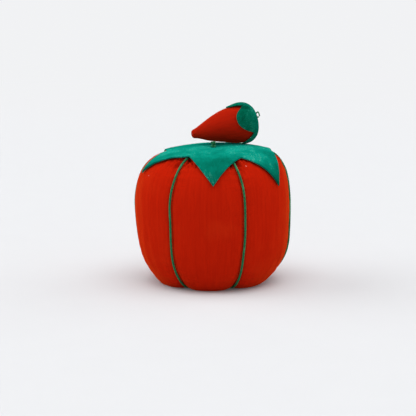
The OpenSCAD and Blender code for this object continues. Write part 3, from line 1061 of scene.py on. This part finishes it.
def build_berry():
    tip_s, side_s = np.linspace(0.05, 3.2, 20), np.linspace(3.5, BERRY.total - 0.8, 150)
    s = np.concatenate([tip_s, side_s])[:, None]
    angles = round_angles(240)
    from_cap = BERRY.total - s
    r = BERRY.at(s)[0]
    u, v = angles / TURN, s / BERRY.total
    height = -0.3 * (1 - berry_swell(s)) * smooth(s / 4)
    height = height - 0.07 * (1 + unevenness(u, v, 9, 8, 51)) - 0.03 * unevenness(u, v, 26, 24, 52)
    rng = np.random.default_rng(53)
    at = 0.0
    while at < TURN - 0.12:
        end = rng.uniform(6.5, 11.5)
        deep = rng.uniform(0.24, 0.5)
        wide = rng.uniform(0.34, 0.52)
        off = wrapped(angles - at) * np.maximum(r, 1.2) / wide
        taper = smooth((end - from_cap) / 5) * smooth(r / 5)
        height = height - deep * taper * furrow(off, 0.3, 1.8)
        at += rng.uniform(0.18, 0.32)
    # Lapped seam along the back of the cone, and a few puckers at the blunt tip
    x = (angles - math.radians(118)) * np.maximum(r, 1)
    height = height + 0.16 * smooth((x + 1.6) / 0.5) * smooth((0.15 - x) / 0.3) * smooth(s / 2)
    pucker = np.cos(9 * angles) + 0.6 * np.cos(5 * angles + 1)
    height = height - 0.05 * (1 + pucker) * smooth(s / 0.8) * smooth((5 - s) / 3)
    points = on_berry(s, angles, height)
    middle = points[0].mean(0)
    points = np.concatenate([(middle + (points[0] - middle) * 0.02)[None], points])
    turn = np.linspace(0, TURN * BERRY_R / UV_MM, len(angles) + 1)
    uv = uv_grid(turn, np.append(0, s) / UV_MM)
    return grid_piece("berry_cotton", points, uv, BERRY_COTTON, cap_ends=True)


berry = build_berry()
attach(berry, "strawberry")
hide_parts("berry_cover")

GRIT_UNDER = 0.75
grit_s = np.linspace(0.3, BERRY.total - 1.2, 44)
grit_turn = round_angles(48)
grit_rows = on_berry(grit_s[:, None], grit_turn, -GRIT_UNDER)
# The gathers of the cotton press a hollow into the end
hollow = [in_berry(r, BERRY_L - back, grit_turn)[None] for r, back in ((3.1, 1.0), (2.9, 2.2))]
grit_rows = np.concatenate([grit_rows[:-4], *hollow])
grit_uv = uv_grid(np.arange(49) / 49, grit_s[:len(grit_rows)] / UV_MM)
grit = grid_piece("berry_grit", grit_rows, grit_uv, EMERY, cap_ends=True)
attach(grit, "strawberry")
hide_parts("berry_emery")

# Felt cap of the strawberry: its outline goes out over the flat end and back along the side
BERRY_FELT_GAP = 0.08
felt_line = [(0, BERRY_L + 0.04), (1.2, BERRY_L + 0.02)]
felt_line += [(float(berry_radius(along)) + BERRY_FELT_GAP, along)
              for along in np.linspace(BERRY_L - 0.12, 12, 70)]
# Reversed in height, so that its normal points outwards too
BERRY_FELT = Profile([(r, -u) for r, u in felt_line], 0.6)
LEAF_REACH = 14.6
LEAF_TURN = math.radians(-6)
TOP_LEAF_TURN = 5
# The four leaves: turn from an even cross in degrees, extra reach, and half the width
BERRY_LEAVES = ((0, 0.4, 6.1), (3, 0.5, 6.1), (TOP_LEAF_TURN, 4.1, 6.1), (-12, 0.2, 6.8))


def berry_star(n):
    columns = round_angles(n)
    edge = np.zeros(n)
    for lobe, (turned, longer, half) in enumerate(BERRY_LEAVES):
        off = wrapped(columns - LEAF_TURN - math.radians(turned) - lobe * np.pi / 2)
        ahead = np.abs(off) < np.pi / 2 - 0.05
        centre = LEAF_REACH + longer - half
        across = np.abs(np.sin(off))
        to_side = np.where(across > 1e-6, half / np.maximum(across, 1e-6), 1e9)
        root = half**2 - (centre * across) ** 2
        to_round = np.where(root > 0, centre * np.cos(off) + np.sqrt(np.maximum(root, 0)), 0)
        side = np.where(to_side * np.cos(off) <= centre, to_side, 0)
        edge = np.maximum(edge, np.where(ahead, np.maximum(side, to_round), 0))
    return columns, edge


berry_columns, berry_edge = berry_star(320)
berry_edge += 0.12 * unevenness(berry_columns / TURN, 0.5, 28, 1, 61)


def berry_lift(s, columns, share):
    """The top leaf lies flat across the cotton, so its sides stand off; the others lie close."""
    off = (columns - LEAF_TURN - math.radians(TOP_LEAF_TURN)) % TURN - np.pi
    top_leaf = smooth((0.76 - np.abs(off)) / 0.14)
    across = 0.62 * BERRY_R * (1 / np.cos(np.clip(off, -1, 1)) - 1)
    sway = 0.07 * (1 + unevenness(columns / TURN, 0.5, 12, 1, 62))
    sway = sway * smooth(s / 8) * (1 - 0.8 * top_leaf)
    down = 0.3 * top_leaf * smooth((share - 0.72) / 0.28)
    return 0.03 + top_leaf * across * smooth((s - 6.5) / 4) + sway - down


def berry_grain(columns, share):
    return 0.05 * unevenness(columns / TURN, share, 90, 16, 63)


def on_berry_cap(s, angle, height):
    r, minus_u, nr, nu = BERRY_FELT.at(s)
    return in_berry(r + nr * height, -(minus_u + nu * height), angle)


berry_felt = felt_piece("berry_felt", berry_columns, berry_edge, BERRY_FELT_T, 0.35,
                        on_berry_cap, berry_lift, berry_grain, DARK_FELT)
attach(berry_felt, "strawberry")
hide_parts("berry_leaf_cap")

gather_path = in_berry(2.0, BERRY_L - 1.4, np.linspace(0, TURN, 70))
berry_gather = twisted_cord("berry_gather_thread", gather_path, 0.25, RED_THREAD,
                            round_ends=False, **FINE_THREAD)
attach(berry_gather, "strawberry")
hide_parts("berry_gathering_thread")

stitch_path = knot_path(in_berry(0.0, BERRY_L - 1.8, 0.0), 0.75, 0.15, 0.3, 90)
berry_stitch = twisted_cord("berry_stitch_thread", stitch_path, 0.22, RED_THREAD, **FINE_THREAD)
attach(berry_stitch, "strawberry")
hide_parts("berry_stitch")

# ---- inside the cushion
CORE_UNDER = 3.7
CORE_BORE = 2.0


def build_core():
    """Packed sawdust, lumpy, with the bore that the cord's strands run through."""
    angles = round_angles(120)
    s = np.linspace(BODY.s_of_r(3.5, False), BODY.s_of_r(3.5, True), 80)[:, None]
    lumps = 0.3 * (1 + unevenness(angles / TURN, s / BODY.total, 24, 16, 71))
    outside = on_body(s, angles, -CORE_UNDER - lumps)
    low, high = outside[0, :, 2].mean(), outside[-1, :, 2].mean()
    bore = [[(CORE_BORE * math.cos(a), CORE_BORE * math.sin(a), z) for a in angles]
            for z in np.linspace(high - 0.8, low + 0.8, 24)]
    points = np.concatenate([outside, bore])
    uv = uv_grid(np.linspace(0, 20, len(angles) + 1), np.arange(len(points)) * 0.1)
    core = grid_piece("sawdust_core", points, uv, SAWDUST)
    close_rows(core, len(angles))
    return core


core = build_core()
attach(core, "cushion")
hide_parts("cushion_stuffing")

for node_name in ("top_gathering_thread", "base_gathering_thread"):
    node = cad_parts[node_name]
    node.data.materials.clear()
    node.data.materials.append(RED_THREAD)

# ---- stage and light
PAPER = (0.882, 0.889, 0.904, 1.0)
PAPER_GLOW = 0.14


def paper_sweep():
    """A pale paper floor that curves up into a low wall, evenly bright away from the object. Near the
    object it has a faint glow of its own, which dims round the object's foot to paint a darker
    contact shadow.
    """
    f = Finish("pale_paper", 0.1, 0.0, (1, 1, 1, 1), 0.5)
    place = f.space("Object")
    grain = f.noise(place, 60.0, 3.0)
    tone = f.mix(f.spread(grain, 0.3, 0.7), (0.531, 0.536, 0.547, 1), (0.536, 0.541, 0.552, 1))
    f.done(tone, f.spread(grain, 0.3, 0.7, 0.85, 0.9), f.bump(grain, 0.02, 0.0002))
    away = f.node("VectorMath", {0: place}, operation="LENGTH").outputs["Value"]
    # Painted shadow: the floor's glow falls almost to nothing within 22 to 34 mm of the middle,
    # darkening the floor round the foot.
    f.put(f.shader, {"Emission Color": PAPER,
                     "Emission Strength": f.spread(away, 0.022, 0.034, 0.03, PAPER_GLOW)})
    bright = f.node("Emission", {"Color": PAPER})
    blend = f.node("MixShader", {0: f.spread(away, 0.35, 1.2), 1: f.shader.outputs[0],
                                 2: bright.outputs[0]})
    f.put(f.tree.nodes["Material Output"], {"Surface": blend.outputs[0]})
    radius, curve, wall = 4.0, 0.5, 1.2
    line = [(0.001, 0), (1, 0), (radius - curve, 0)]
    line += [(radius - curve + curve * math.sin(a), curve - curve * math.cos(a))
             for a in np.linspace(0.2, math.pi / 2, 8)]
    line.append((radius, wall))
    turn = round_angles(96)
    points = np.array([[(r * math.cos(t), r * math.sin(t), z) for t in turn] for r, z in line])
    uv = np.zeros((len(line), len(turn) + 1, 2))
    return grid_piece("floor", points / MM, uv, f.material, flip=True)


floor = paper_sweep()

world = bpy.data.worlds.new("studio")
world.use_nodes = True
sky = world.node_tree.nodes["Background"].inputs
sky["Color"].default_value = (0.46, 0.464, 0.471, 1)
sky["Strength"].default_value = 1.0
bpy.context.scene.world = world

# Broad soft lights: direction they come from, strength, and angular size in degrees
for name, azimuth, elevation, strength, size in (
    ("light_top", 30, 78, 1.75, 60),
    ("light_front", 60, 35, 0.1, 60),
    ("light_right", 108, 24, 0.95, 60),
    ("light_left", -100, 28, 1.9, 60),
):
    light = bpy.data.lights.new(name, "SUN")
    light.energy = strength
    light.angle = math.radians(size)
    lamp = bpy.data.objects.new(name, light)
    a, e = math.radians(azimuth), math.radians(elevation)
    lamp.rotation_euler = (math.pi / 2 - e, 0, a)
    bpy.context.scene.collection.objects.link(lamp)

scene = bpy.context.scene
scene.view_settings.view_transform = "Standard"
scene.view_settings.look = "None"
